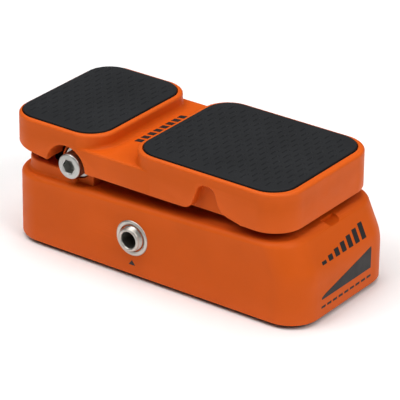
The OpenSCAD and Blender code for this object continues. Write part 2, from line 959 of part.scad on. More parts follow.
module gear_sector() {
    root = sector_r - dedendum * module_mm;
    pitch_deg = 360 / sector_teeth;
    foot_z = sector_pad_h - sector_foot_t;
    color(nickel) lift() difference() {
        union() {
            across(-sector_t / 2, sector_t / 2) intersection() {
                translate([hinge_x, hinge_z]) union() {
                    polygon(ring_strip(sector_in, root, -sector_low, sector_high, 24));
                    for (k = [sector_first:sector_last]) {
                        polygon(tooth(sector_r, sector_addendum, -mesh_angle + k * pitch_deg));
                    }
                }
                square([tall, sector_pad_h - eps]);
            }
            translate([sector_foot_x[0], -sector_foot_half, foot_z])
                cube([sector_foot_x[1] - sector_foot_x[0], 2 * sector_foot_half, sector_foot_t]);
        }
        for (s = side_signs) {
            translate([sector_screw_x, s * sector_screw_y, foot_z - over])
                cylinder(h = sector_foot_t + 2 * over, r = m3_r + 2 * screw_play);
        }
    }
}

module sector_screws() {
    color(steel) lift() for (s = side_signs) {
        translate([sector_screw_x, s * sector_screw_y, sector_pad_h - sector_foot_t])
            pan_screw(sector_screw_l);
    }
}

module pinion_gear() {
    root = pinion_r - dedendum * module_mm;
    facing = 180 - mesh_angle;
    pitch_deg = 360 / pinion_teeth;
    color(brass) lift() difference() {
        union() {
            translate([drive_x, 0, drive_z]) across(-pinion_t / 2, pinion_t / 2) {
                circle(root);
                for (k = [0:pinion_teeth - 1]) {
                    polygon(tooth(pinion_r, pinion_addendum, facing + (k + 0.5) * pitch_deg));
                }
            }
            bar(drive_x, drive_z, hub_r, -pinion_t / 2, hub_end);
        }
        bar(drive_x, drive_z, spindle_r, -pinion_t, hub_end + over);
        set_screw_bar(hub_r + over);
    }
}

// The set screw's radial bar through the hub, out to radius r
module set_screw_bar(r) {
    translate([drive_x, (pinion_t / 2 + hub_end) / 2, drive_z]) cylinder(h = r, r = set_screw_r, $fn = 24);
}

module pinion_set_screw() {
    color(plastic) lift() difference() {
        set_screw_bar(hub_r);
        bar(drive_x, drive_z, spindle_r, -pinion_t, hub_end + over);
    }
}

module pot_shaft() {
    color(steel) lift() bar(drive_x, drive_z, spindle_r, spindle_start, spindle_end);
}

base_shell();
bottom_plate();
plate_screws();
rubber_feet();
toe_bumpers();
heel_bumpers();
hinge_bushings();
input_jack_body();
input_jack_bushing();
input_jack_nut();
input_jack_lugs();
output_jack_body();
output_jack_bushing();
output_jack_nut();
output_jack_lugs();
pot_bracket();
bracket_screws();
pot_body();
pot_bushing();
pot_washer();
pot_nut();
pot_lugs();
hookup_wires();
treadle_shell();
heel_pad();
toe_pad();
hinge_shaft();
hinge_washers();
hinge_screws();
gear_sector();
sector_screws();
pot_shaft();
pinion_gear();
pinion_set_screw();
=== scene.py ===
import json
import math

import bmesh
import bpy
from mathutils import Matrix, Vector


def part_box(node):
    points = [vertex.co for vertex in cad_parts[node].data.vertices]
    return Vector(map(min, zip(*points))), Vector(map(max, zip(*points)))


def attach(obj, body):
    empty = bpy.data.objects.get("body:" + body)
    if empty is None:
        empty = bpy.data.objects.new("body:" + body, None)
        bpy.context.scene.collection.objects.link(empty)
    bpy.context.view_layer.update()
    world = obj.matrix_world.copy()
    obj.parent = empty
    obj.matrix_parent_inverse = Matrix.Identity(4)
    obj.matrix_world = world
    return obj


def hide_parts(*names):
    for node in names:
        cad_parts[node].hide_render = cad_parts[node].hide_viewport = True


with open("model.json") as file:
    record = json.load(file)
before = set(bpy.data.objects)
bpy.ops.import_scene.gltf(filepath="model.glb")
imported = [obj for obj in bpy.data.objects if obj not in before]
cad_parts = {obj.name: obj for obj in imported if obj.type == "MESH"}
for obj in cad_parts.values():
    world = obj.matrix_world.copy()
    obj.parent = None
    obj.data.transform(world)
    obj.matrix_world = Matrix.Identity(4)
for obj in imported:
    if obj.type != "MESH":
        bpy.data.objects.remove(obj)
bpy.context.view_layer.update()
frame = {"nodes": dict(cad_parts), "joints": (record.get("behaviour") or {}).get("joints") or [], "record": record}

# Shapes are worked out in millimetres in the shared frame and scaled to metres when a mesh is made.
MM = 0.001


def box_mm(node):
    low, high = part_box(node)
    return low / MM, high / MM


def joint_mm(name):
    joint = next(j for j in frame["joints"] if j["name"] == name)
    return Vector(joint["pos_m"]) / MM


BASE_LOW, BASE_HIGH = box_mm("base_shell")
TREAD_LOW, TREAD_HIGH = box_mm("treadle_shell")
HEEL_PAD_LOW, HEEL_PAD_HIGH = box_mm("heel_pad")
TOE_PAD_LOW, TOE_PAD_HIGH = box_mm("toe_pad")
JACK_LOW, JACK_HIGH = box_mm("output_jack_bushing")
NUT_LOW, NUT_HIGH = box_mm("output_jack_nut")
JACKS = {side: sum(box_mm(node), Vector()) / 2
         for side, node in ((-1, "input_jack_bushing"), (1, "output_jack_bushing"))}
HINGE = joint_mm("treadle_tilt")
SPINDLE = joint_mm("pot_turn")

# Base casting
DECK_Z = 30.6
DECK_SLOPE = math.tan(math.radians(2.2))
HEEL_R = 14
TOE_R = 12
WALL = 2.5
RIM_R = 2.2
TOE_FACE_Z = 19
TOE_LEAN = 5.8 / 12.4
TOE_BLEND = 3.2
SIDE_BREAKS = (-30, 0, 30)

# Treadle casting
VALLEY_Z = 45.9
SKIRT_Z = 36
PLATEAU_R = 11.4
TREAD_HEEL_R = 11.7
TREAD_TOE_R = 12.1
HEEL_PLATEAU_END = -23.8
TOE_PLATEAU_START = -11.2
RIM_EDGE = 1.2
VALLEY_EDGE = 0.8
SKIRT_EDGE = 0.5
FLARE = 2.0
PAD_R = 9.9
PAD_GAP = 0.4
TOP_T = 2.6
SIDES = (-1, 1)


# ---- Outlines ----

def plan_ring(x0, x1, half, r0, r1, side_xs=(), steps=12):
    """A rounded rectangle seen from above, as (x, y, normal x, normal y)."""
    corners = (
        (x0 + r0, -half + r0, r0, 180), (x1 - r1, -half + r1, r1, 270),
        (x1 - r1, half - r1, r1, 0), (x0 + r0, half - r0, r0, 90),
    )
    ring = []
    for number, (cx, cy, r, start) in enumerate(corners):
        for i in range(steps + 1):
            a = math.radians(start + 90 * i / steps)
            ring.append((cx + r * math.cos(a), cy + r * math.sin(a), math.cos(a), math.sin(a)))
        if number == 0:
            ring += [(x, -half, 0, -1) for x in sorted(side_xs)]
        if number == 2:
            ring += [(x, half, 0, 1) for x in sorted(side_xs, reverse=True)]
    return ring


def raised(ring, inset, height):
    """The ring drawn in by inset, its height a number or a function of x."""
    points = []
    for x, y, nx, ny in ring:
        px, py = x - inset * nx, y - inset * ny
        points.append(Vector((px, py, height(px) if callable(height) else height)))
    return points


def rounded(corners, steps=8):
    """A closed outline whose corners are (u, v, radius)."""
    outline = []
    for i, (u, v, r) in enumerate(corners):
        at = Vector((u, v))
        if r == 0:
            outline.append(at)
            continue
        before = Vector(corners[i - 1][:2])
        after = Vector(corners[(i + 1) % len(corners)][:2])
        a, b = (before - at).normalized(), (after - at).normalized()
        half = a.angle(b) / 2
        centre = at + (a + b).normalized() * r / math.sin(half)
        start = at + a * r / math.tan(half) - centre
        turn = math.copysign(math.pi - 2 * half, -(a.x * b.y - a.y * b.x))
        for k in range(steps + 1):
            c, s = math.cos(turn * k / steps), math.sin(turn * k / steps)
            outline.append(centre + Vector((start.x * c - start.y * s, start.x * s + start.y * c)))
    return outline


def circle(u, v, r, steps=64):
    return [
        Vector((u + r * math.cos(2 * math.pi * i / steps), v + r * math.sin(2 * math.pi * i / steps)))
        for i in range(steps)
    ]


def arc(u, v, r, degrees):
    """Points round (u, v) at the given angles."""
    return [
        Vector((u + r * math.cos(math.radians(a)), v + r * math.sin(math.radians(a))))
        for a in degrees
    ]


def oblong(u0, u1, v0, v1):
    return [Vector((u0, v0)), Vector((u1, v0)), Vector((u1, v1)), Vector((u0, v1))]


def grown(outline, distance):
    """The outline moved outwards by distance at every point."""
    area = sum(p.cross(outline[(i + 1) % len(outline)]) for i, p in enumerate(outline))
    side = math.copysign(1, area)
    moved = []
    for i, p in enumerate(outline):
        a = (p - outline[i - 1]).normalized()
        b = (outline[(i + 1) % len(outline)] - p).normalized()
        n = Vector((a.y + b.y, -a.x - b.x)).normalized() * side
        moved.append(p + n * distance / max(0.5, math.cos(a.angle(b) / 2)))
    return moved


# ---- Mesh building ----

def add_loft(mesh, rings, cap_low=True, cap_high=True):
    """Joins rings of equal length into a skin, with flat caps at its ends."""
    rows = [[mesh.verts.new(p * MM) for p in ring] for ring in rings]
    count = len(rows[0])
    for low, high in zip(rows, rows[1:]):
        for i in range(count):
            j = (i + 1) % count
            mesh.faces.new((low[i], low[j], high[j], high[i]))
    if cap_low:
        mesh.faces.new(list(reversed(rows[0])))
    if cap_high:
        mesh.faces.new(rows[-1])
    return rows


def add_ring_body(mesh, rings):
    """Joins rings into a closed tube: the last ring meets the first."""
    rows = [[mesh.verts.new(p * MM) for p in ring] for ring in rings]
    count = len(rows[0])
    for low, high in zip(rows, rows[1:] + rows[:1]):
        for i in range(count):
            j = (i + 1) % count
            mesh.faces.new((low[i], low[j], high[j], high[i]))


def across(outline, stations):
    """Rings of a side-view outline (x, z) at stations (y, growth)."""
    return [[Vector((p.x, y, p.y)) for p in grown(outline, g)] for y, g in stations]


def upright(outline, stations):
    """Rings of a plan outline (x, y) at stations (z, growth)."""
    return [[Vector((p.x, p.y, z)) for p in grown(outline, g)] for z, g in stations]


def lathe(mesh, at, profile, side, steps=96):
    """A closed body turned about an axis along Y through at, from (distance out, radius) points."""
    add_ring_body(mesh, [
        [Vector((p.x, side * out, p.y)) for p in circle(at.x, at.z, radius, steps)] for out, radius in profile
    ])


def made(name, build):
    """A new object whose mesh is drawn by build(bmesh)."""
    mesh = bmesh.new()
    build(mesh)
    bmesh.ops.recalc_face_normals(mesh, faces=mesh.faces)
    data = bpy.data.meshes.new(name)
    mesh.to_mesh(data)
    mesh.free()
    piece = bpy.data.objects.new(name, data)
    bpy.context.scene.collection.objects.link(piece)
    return piece


def carve(piece, build, operation="DIFFERENCE"):
    """Cuts a drawn shape or another object out of piece, or joins it on."""
    tool = made("tool", build) if callable(build) else build
    modifier = piece.modifiers.new("carve", "BOOLEAN")
    modifier.operation = operation
    modifier.solver = "EXACT"
    modifier.object = tool
    settled = bpy.data.meshes.new_from_object(piece.evaluated_get(bpy.context.evaluated_depsgraph_get()))
    piece.modifiers.clear()
    piece.data = settled
    bpy.data.objects.remove(tool)


def join(piece, build):
    carve(piece, build, "UNION")


def smooth(piece, angle=32):
    """Smooth shading that keeps the hard edges."""
    piece.data.shade_smooth()
    piece.data.set_sharp_from_angle(angle=math.radians(angle))
    modifier = piece.modifiers.new("normals", "WEIGHTED_NORMAL")
    modifier.keep_sharp = True


def finish_piece(piece, body, slot, material, *nodes):
    piece.data.materials.clear()
    piece.data.materials.append(material)
    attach(piece, body)
    if nodes:
        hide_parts(*nodes)
    return piece


# ---- Base casting ----

def lean(z):
    """How far the toe end leans back at height z."""
    rise = z - TOE_FACE_Z
    if rise <= -TOE_BLEND:
        return 0
    if rise < TOE_BLEND:
        return TOE_LEAN * (rise + TOE_BLEND) ** 2 / (4 * TOE_BLEND)
    return TOE_LEAN * rise


def base_ring(inset, height, sloped):
    """One outline of the base; a sloped one runs parallel to the deck."""
    points = []
    for x, y, nx, ny in plan_ring(BASE_LOW.x, BASE_HIGH.x, BASE_HIGH.y, HEEL_R, TOE_R, SIDE_BREAKS):
        px, py = x - inset * nx, y - inset * ny
        back = 0
        z = height
        for _ in range(4):
            z = height + ((px - back) * DECK_SLOPE if sloped else 0)
            back = lean(z) if x > BASE_HIGH.x - TOE_R - 1 else 0
        points.append(Vector((px - back, py, z)))
    return points


def edge_steps(radius, steps=6):
    """(inset, drop) pairs around a rounded edge, from the wall to the top."""
    for i in range(steps + 1):
        t = math.radians(90 * i / steps)
        yield radius * (1 - math.cos(t)), radius * (1 - math.sin(t))


def base_outer(mesh):
    low = BASE_LOW.z
    foot_edge = 0.6
    rings = [base_ring(inset, low + foot_edge - drop_in, False)
             for inset, drop_in in ((0.6, 0.6), (0.18, 0.42), (0, 0))]
    heights = [9, 14] + [TOE_FACE_Z - TOE_BLEND + TOE_BLEND * k / 4 for k in range(9)] + [24.2]
    rings += [base_ring(0, z, False) for z in heights]
    rings += [base_ring(inset, DECK_Z - drop, True) for inset, drop in edge_steps(RIM_R, 8)]
    add_loft(mesh, rings)


def base_room(mesh):
    levels = (0, TOE_FACE_Z - TOE_BLEND, TOE_FACE_Z, TOE_FACE_Z + TOE_BLEND)
    rings = [base_ring(WALL, z, False) for z in levels]
    rings += [base_ring(WALL, DECK_Z - WALL, True)]
    add_loft(mesh, rings)


COAMING_TOP = 33.5
COAMING_ROOT = 27.4
COAMING_WALL = 2.3
COAMING_X = (-63.5, -36.5)
COAMING_HALF = 27
COAMING_R = 10.5
COAMING_END_R = 1.4
COAMING_EDGE = 0.7
COAMING_FLARE = 1.2


def deck_z(x):
    return DECK_Z + x * DECK_SLOPE


def coaming_wall(mesh):
    outline = plan_ring(*COAMING_X, COAMING_HALF, COAMING_R, COAMING_END_R)
    rings = [raised(outline, -COAMING_FLARE, COAMING_ROOT)]
    for k in range(7):
        t = math.radians(15 * k)
        rings.append(raised(outline, -COAMING_FLARE * (1 - math.sin(t)),
                            lambda x, rise=COAMING_FLARE * (1 - math.cos(t)): deck_z(x) - 0.02 + rise))
    rings += [raised(outline, inset, COAMING_TOP - drop) for inset, drop in edge_steps(COAMING_EDGE, 4)]
    add_loft(mesh, rings)


def coaming_room(mesh):
    """The space inside the coaming, open towards the toe."""
    outline = plan_ring(COAMING_X[0] + COAMING_WALL, COAMING_X[1] + COAMING_WALL,
                        COAMING_HALF - COAMING_WALL, COAMING_R - COAMING_WALL, COAMING_END_R)
    add_loft(mesh, [raised(outline, 0, COAMING_ROOT - 1), raised(outline, 0, COAMING_TOP - 0.3),
                    raised(outline, -0.3, COAMING_TOP + 0.1)])


EAR_IN = 20
EAR_OUT = 25.3
EAR_R = 7.4


def ear_outline(radius, low):
    top = arc(HINGE.x, HINGE.z, radius, range(0, 181, 6))
    return top + [Vector((HINGE.x - radius, low)), Vector((HINGE.x + radius, low))]


def ears(mesh):
    for side in SIDES:
        stations = [(side * y, g) for y, g in (
            (EAR_IN, -0.3), (EAR_IN + 0.3, 0), (EAR_OUT - 0.6, 0),
            (EAR_OUT - 0.18, -0.18), (EAR_OUT, -0.6))]
        add_loft(mesh, across(ear_outline(EAR_R, COAMING_ROOT), stations))


SCREW_BOSSES = ((-56, 21.5), (22, 25), (56.5, 21.5))
BOSS_R = 3.5
M3_R = 1.5
PLATE_TOP = 3.8
TAB_TOP = 20.5
BRACKET_SCREW_X = 13.3
BRACKET_SCREW_Y = 14.2
TOE_BUMPER = (47, 16)
HEEL_BUMPER = (-55, 9)
BUMPER_R = 4.5
SECTOR_SLOT = (11.8, 25.2, 3.2)


def boss_places():
    """(x, y, lower end) of every screw boss inside the base."""
    for x, y in SCREW_BOSSES:
        for side in SIDES:
            yield x, side * y, PLATE_TOP
    for side in SIDES:
        yield SPINDLE.x + side * BRACKET_SCREW_X, BRACKET_SCREW_Y, TAB_TOP


def base_bosses(mesh):
    for x, y, low in boss_places():
        top = deck_z(x) - WALL / 2
        add_loft(mesh, upright(circle(x, y, BOSS_R, 32), ((low, -0.3), (low + 0.3, 0), (top, 0))))


def base_holes(mesh):
    for x, y, low in boss_places():
        add_loft(mesh, upright(circle(x, y, M3_R, 24), ((low - 1, 0), (low + 8, 0))))
    for at in (TOE_BUMPER, HEEL_BUMPER):
        for side in SIDES:
            add_loft(mesh, upright(circle(at[0], side * at[1], BUMPER_R + 0.05, 48),
                                   ((deck_z(at[0]) - 1, 0), (deck_z(at[0]) + 3, 0))))
    x0, x1, half = SECTOR_SLOT
    outline = rounded([(x0, -half, 1), (x1, -half, 1), (x1, half, 1), (x0, half, 1)])
    add_loft(mesh, upright(outline, ((DECK_Z - 5, 0), (DECK_Z + 4, 0))))


BUSHING_HOLE_R = 5.2
JACK_HOLE_R = 4.9
JACK_HOLE_END = 31
JACK_SPOT_R = 7.6
JACK_SPOT_Y = 29.7
EAR_SPOT_R = 6.6
EAR_SPOT_Y = (23.3, 26.5)


def side_holes(mesh):
    for side in SIDES:
        add_loft(mesh, across(circle(HINGE.x, HINGE.z, BUSHING_HOLE_R),
                              ((side * (EAR_IN - 1), 0), (side * (EAR_OUT + 1), 0))))
        jack = JACKS[side]
        add_loft(mesh, across(circle(jack.x, jack.z, JACK_HOLE_R),
                              ((side * (BASE_HIGH.y - WALL - 1), 0), (side * JACK_HOLE_END, 0))))
        add_loft(mesh, across(circle(jack.x, jack.z, JACK_SPOT_R, 96), (
            (side * JACK_SPOT_Y, 0), (side * (BASE_HIGH.y - 0.25), 0),
            (side * (BASE_HIGH.y - 0.07), 0.07), (side * (BASE_HIGH.y + 0.3), 0.5))))


def spot_faces(mesh):
    for side in SIDES:
        stations = [(side * y, 0) for y in EAR_SPOT_Y]
        add_loft(mesh, across(circle(HINGE.x, HINGE.z, EAR_SPOT_R), stations))


NOTCH_Z = 31.2
NOTCH_HALF = 4
NOTCH_R = 2.2
NOTCH_TOP = 45
NOTCH_X = (57, 75)


def toe_notch(mesh):
    outline = rounded([(-NOTCH_HALF, NOTCH_Z, NOTCH_R), (NOTCH_HALF, NOTCH_Z, NOTCH_R),
                       (NOTCH_HALF, NOTCH_TOP, 0), (-NOTCH_HALF, NOTCH_TOP, 0)])
    add_loft(mesh, [[Vector((x, p.x, p.y)) for p in outline] for x in NOTCH_X])


def plate_recess(mesh):
    outline = plan_ring(BASE_LOW.x, BASE_HIGH.x, BASE_HIGH.y, HEEL_R, TOE_R)
    add_loft(mesh, [raised(outline, 1.3, 0), raised(outline, 1.3, PLATE_TOP)])


def build_base(paint):
    base = made("base_casting", base_outer)
    coaming = made("coaming", coaming_wall)
    carve(coaming, coaming_room)
    join(base, coaming)
    join(base, ears)
    carve(base, base_room)
    join(base, base_bosses)
    for cut in (plate_recess, base_holes, side_holes, spot_faces, toe_notch):
        carve(base, cut)
    smooth(base)
    return finish_piece(base, "base", "casting_paint", paint, "base_shell")


# ---- Treadle casting ----

SKIRT_BREAK = -45.5
ARCH = (-39, 36, 8.9)
HEEL_EDGE_RISE = 0.6
HEEL_EDGE_SLOPE = math.tan(math.radians(8))
HAIR = 0.015


def skirt_z(x):
    """Height of the skirt's lower edge."""
    if x < SKIRT_BREAK:
        return SKIRT_Z + HEEL_EDGE_RISE - (x - SKIRT_BREAK) * HEEL_EDGE_SLOPE
    if x < ARCH[0]:
        return SKIRT_Z + HEEL_EDGE_RISE * (ARCH[0] - x) / (ARCH[0] - SKIRT_BREAK)
    return SKIRT_Z


def skirt_cap(mesh, row):
    """Closes the underside with strips across the width, so that it follows the skirt's edge."""
    order = sorted(range(len(row)), key=lambda i: (round(row[i].co.x / MM, 4), row[i].co.y))
    near = [row[i] for i in order if row[i].co.y < 0]
    far = [row[i] for i in order if row[i].co.y > 0]
    for a, b, c, d in zip(near, near[1:], far[1:], far):
        mesh.faces.new((a, b, c, d))


def block(mesh, x0, x1, r0, r1, top, edge, toward=0, drawn=0):
    """A treadle block: skirt wall, optional flare at its foot towards the valley, rounded top edge."""
    breaks = [x for x in (SKIRT_BREAK, ARCH[0], -20, 20) if x0 + r0 < x < x1 - r1]
    outline = plan_ring(x0 + drawn, x1 - drawn, TREAD_HIGH.y - drawn, r0, r1, breaks)

    def flared(out, z):
        return [
            Vector((x + out * max(0, nx * toward) ** 2 * nx, y + out * max(0, nx * toward) ** 2 * ny, z))
            for x, y, nx, ny in outline
        ]

    rings = [raised(outline, inset, lambda x, r=rise: skirt_z(x) + drawn + r)
             for inset, rise in ((SKIRT_EDGE, 0), (SKIRT_EDGE * 0.3, SKIRT_EDGE * 0.3), (0, SKIRT_EDGE))]
    if toward:
        rings += [flared(0, VALLEY_Z - 2), flared(FLARE, VALLEY_Z - 1)]
        for k in range(7):
            t = math.radians(15 * k)
            rings.append(flared(FLARE * (1 - math.sin(t)), VALLEY_Z - 0.02 + FLARE * (1 - math.cos(t))))
    rings += [raised(outline, inset, top - drop) for inset, drop in edge_steps(edge, 6)]
    rows = add_loft(mesh, rings, cap_low=False)
    skirt_cap(mesh, rows[0])


def valley_block(mesh):
    block(mesh, TREAD_LOW.x, TREAD_HIGH.x, TREAD_HEEL_R, TREAD_TOE_R, VALLEY_Z, VALLEY_EDGE, drawn=HAIR)


def heel_block(mesh):
    block(mesh, TREAD_LOW.x, HEEL_PLATEAU_END, TREAD_HEEL_R, PLATEAU_R, TREAD_HIGH.z, RIM_EDGE, toward=1)


def toe_block(mesh):
    block(mesh, TOE_PLATEAU_START, TREAD_HIGH.x, PLATEAU_R, TREAD_TOE_R, TREAD_HIGH.z, RIM_EDGE, toward=-1)


POCKET_FLOOR = HEEL_PAD_LOW.z
CEILING = POCKET_FLOOR - TOP_T
VALLEY_CEILING = VALLEY_Z - 2.8


def valley_room(mesh):
    outline = plan_ring(TREAD_LOW.x, TREAD_HIGH.x, TREAD_HIGH.y, TREAD_HEEL_R, TREAD_TOE_R)
    add_loft(mesh, [raised(outline, WALL, SKIRT_Z - 2), raised(outline, WALL, VALLEY_CEILING)])


def plateau_rooms(mesh):
    drawn = WALL + 0.08
    for x0, x1, r0, r1 in ((TREAD_LOW.x, HEEL_PLATEAU_END, TREAD_HEEL_R, PLATEAU_R),
                           (TOE_PLATEAU_START, TREAD_HIGH.x, PLATEAU_R, TREAD_TOE_R)):
        outline = plan_ring(x0, x1, TREAD_HIGH.y, r0, r1)
        add_loft(mesh, [raised(outline, drawn, VALLEY_CEILING - 1.5), raised(outline, drawn, CEILING)])


def pad_outline(low, high, grow=0):
    r = PAD_R + grow
    return plan_ring(low.x - grow, high.x + grow, high.y + grow, r, r)


def pad_pockets(mesh):
    top = TREAD_HIGH.z
    for low, high in ((HEEL_PAD_LOW, HEEL_PAD_HIGH), (TOE_PAD_LOW, TOE_PAD_HIGH)):
        outline = pad_outline(low, high, PAD_GAP)
        add_loft(mesh, [raised(outline, -g, z) for z, g in (
            (POCKET_FLOOR, 0), (top - 0.22, 0), (top - 0.06, 0.06), (top + 0.4, 0.5))])


def side_cuts(mesh):
    half = TREAD_HIGH.y
    for side in SIDES:
        stations = [(side * y, g) for y, g in (
            (TUNNEL_IN - 0.5, 0), (half - 0.55, 0), (half - 0.16, 0.16), (half + 0.4, 0.75))]
        add_loft(mesh, across(circle(*ARCH, 96), stations))


TUNNEL = (-38, 36.8, 12)
TUNNEL_LOW = 37.2
TUNNEL_IN = 20.8
EAR_PLAY = 1.2


def tunnel(mesh):
    """A thick collar round each hinge arch, behind the skirt."""
    x, z, r = TUNNEL
    outline = arc(x, z, r, range(4, 177, 4)) + [Vector((x - r, TUNNEL_LOW)), Vector((x + r, TUNNEL_LOW))]
    for side in SIDES:
        add_loft(mesh, across(outline, ((side * TUNNEL_IN, 0), (side * (TREAD_HIGH.y - WALL / 2), 0))))


def ear_rooms(mesh):
    """Room for the ears to swing in behind each arch."""
    for side in SIDES:
        add_loft(mesh, across(circle(HINGE.x, HINGE.z, EAR_R + EAR_PLAY, 96),
                              ((side * (TUNNEL_IN - 1), 0), (side * (EAR_OUT + 0.4), 0))))


BELL = (
    (11.7, 24, 0), (11.7, SKIRT_Z, 0), (18.2, SKIRT_Z, 5), (22.2, 47, 3.2),
    (28.2, 47, 3), (31.1, SKIRT_Z + 2.2, 7), (42.3, SKIRT_Z - 0.4, 4), (42.3, 24, 0),
)
BELL_DEPTH = 3.4
BELL_BACK = 1.7
BELL_WALL_X = (14, 36.3)


def bell_walls(mesh):
    for side in SIDES:
        y0 = side * (TREAD_HIGH.y - BELL_DEPTH - BELL_BACK)
        y1 = side * (TREAD_HIGH.y - BELL_DEPTH + 1)
        add_loft(mesh, across(oblong(*BELL_WALL_X, SKIRT_Z + 0.1, CEILING + 1), ((y0, 0), (y1, 0))))


def bell_cuts(mesh):
    half = TREAD_HIGH.y
    for side in SIDES:
        stations = [(side * y, g) for y, g in (
            (half - BELL_DEPTH, -0.35), (half - BELL_DEPTH + 0.12, -0.1), (half - BELL_DEPTH + 0.4, 0),
            (half - 0.6, 0), (half - 0.18, 0.18), (half + 0.3, 0.75))]
        add_loft(mesh, across(rounded(BELL, 10), stations))


LUG_IN = 11
LUG_OUT = 19.6
LUG_R = 7
POST_R = 3.2
TOE_POST_LOW = 37.5
HEEL_POST_LOW = 38.1
SHAFT_R = 4
SECTOR_FOOT = (9, 29, 7.5, 43.5)
SECTOR_SCREW = (19, 4.8)


def treadle_inner(mesh):
    """Hinge lugs, stop posts and the gear sector's pad under the treadle."""
    top = CEILING + 1
    for side in SIDES:
        foot = arc(HINGE.x, HINGE.z, LUG_R, range(180, 361, 6))
        outline = [Vector((HINGE.x - LUG_R, top))] + foot + [Vector((HINGE.x + LUG_R, top))]
        stations = [(side * y, g) for y, g in (
            (LUG_IN, -0.3), (LUG_IN + 0.3, 0), (LUG_OUT - 0.3, 0), (LUG_OUT, -0.3))]
        add_loft(mesh, across(outline, stations))
        for (x, y), low in ((TOE_BUMPER, TOE_POST_LOW), (HEEL_BUMPER, HEEL_POST_LOW)):
            add_loft(mesh, upright(circle(x, side * y, POST_R, 48), ((low, -0.3), (low + 0.3, 0), (top, 0))))
    x0, x1, half, low = SECTOR_FOOT
    outline = rounded([(x0, -half, 1), (x1, -half, 1), (x1, half, 1), (x0, half, 1)])
    add_loft(mesh, upright(outline, ((low, 0), (top, 0))))


def treadle_holes(mesh):
    for side in SIDES:
        add_loft(mesh, across(circle(HINGE.x, HINGE.z, SHAFT_R),
                              ((side * (LUG_IN - 1), 0), (side * (LUG_OUT + 1), 0))))
        add_loft(mesh, upright(circle(SECTOR_SCREW[0], side * SECTOR_SCREW[1], M3_R, 24),
                               ((SECTOR_FOOT[3] - 1, 0), (SECTOR_FOOT[3] + 4.5, 0))))


def build_treadle(paint):
    treadle = made("treadle_casting", valley_block)
    join(treadle, heel_block)
    join(treadle, toe_block)
    carve(treadle, valley_room)
    carve(treadle, plateau_rooms)
    join(treadle, treadle_inner)
    join(treadle, tunnel)
    join(treadle, bell_walls)
    for cut in (pad_pockets, side_cuts, ear_rooms, bell_cuts, treadle_holes):
        carve(treadle, cut)
    smooth(treadle)
    return finish_piece(treadle, "treadle", "casting_paint", paint, "treadle_shell")


# ---- Rubber pads ----

DASH_L = 4.0
DASH_W = 1.4
DASH_PITCH_X = 2.7
DASH_PITCH_Y = 6.5
DASH_DEPTH = 0.35
PAD_MARGIN = 1.9
PAD_EDGE = 0.5
DASH_R = 0.55


def inside_pad(low, high, x, y):
    """Whether a dash centred at x, y keeps its margin inside the pad's rounded outline."""
    r = PAD_R - PAD_MARGIN
    for end in SIDES:
        px = abs(x - (low.x + high.x) / 2) + DASH_W / 2
        py = abs(y + end * (DASH_L / 2))
        dx = max(0, px - ((high.x - low.x) / 2 - PAD_R))
        dy = max(0, py - (high.y - PAD_R))
        if math.hypot(dx, dy) > r:
            return False
    return True


def dash_places(low, high):
    rows = int((high.x - low.x) / DASH_PITCH_X) + 1
    columns = int(high.y / DASH_PITCH_Y) + 2
    middle = (low.x + high.x) / 2
    for row in range(-rows, rows + 1):
        for column in range(-columns, columns + 1):
            x = middle + row * DASH_PITCH_X
            y = (column + (row % 2) / 2) * DASH_PITCH_Y
            if inside_pad(low, high, x, y):
                yield x, y


def pad_piece(name, node, low, high, rubber):
    outline = pad_outline(low, high)

    def body(mesh):
        rings = [raised(outline, 0, low.z)]
        rings += [raised(outline, inset, high.z - drop) for inset, drop in edge_steps(PAD_EDGE, 5)]
        add_loft(mesh, rings)

    def dashes(mesh):
        half_w, half_l = DASH_W / 2, DASH_L / 2
        for x, y in dash_places(low, high):
            shape = rounded([
                (x - half_w, y - half_l, DASH_R), (x + half_w, y - half_l, DASH_R),
                (x + half_w, y + half_l, DASH_R), (x - half_w, y + half_l, DASH_R)], 3)
            add_loft(mesh, upright(shape, (
                (high.z - DASH_DEPTH, -0.3), (high.z - DASH_DEPTH + 0.08, -0.16),
                (high.z - 0.08, 0.02), (high.z + 0.2, 0.25))))

    piece = made(name, body)
    carve(piece, dashes)
    smooth(piece)
    return finish_piece(piece, "treadle", "black_rubber", rubber, node)


# ---- Jacks and hinge screws ----

def jack_bushing(name, side, nickel):
    front, back, bore, outer = JACK_HIGH.y, JACK_LOW.y, 3.2, 4.75
    thread = 0.42
    profile = [(back, outer - 0.3), (back + 0.3, outer)]
    out = NUT_HIGH.y - 0.6
    while out < front - 1.0:
        profile += [(out, outer), (out + thread / 2, outer - 0.22)]
        out += thread
    profile += [(front - 0.75, outer - 0.05), (front - 0.42, outer - 0.16), (front - 0.14, outer - 0.42),
                (front, outer - 0.8), (front - 0.06, bore + 0.42), (front - 0.3, bore + 0.14),
                (front - 0.7, bore), (back, bore)]
    piece = made(name, lambda mesh: lathe(mesh, JACKS[side], profile, side))
    smooth(piece, 40)
    return finish_piece(piece, "base", "nickel_plate", nickel, name.replace("_sleeve", "_bushing"))


def jack_nut(name, side, nickel):
    seat, top, outer, inner = NUT_LOW.y, NUT_HIGH.y, 7.12, 4.77
    profile = [(seat, inner), (seat, outer - 0.1), (seat + 0.1, outer), (seat + 0.55, outer)]
    profile += [(top - drop, outer - inset * 1.3) for inset, drop in list(edge_steps(0.6, 5))[1:]]
    profile += [(top, outer - 1.15), (top - 0.12, outer - 1.4), (top - 0.14, inner + 0.75),
                (top - 0.3, inner + 0.6), (top - 0.75, inner + 0.55), (top - 0.8, inner)]
    piece = made(name, lambda mesh: lathe(mesh, JACKS[side], profile, side))
    smooth(piece, 40)
    return finish_piece(piece, "base", "nickel_plate", nickel, name.replace("_ring_nut", "_nut"))


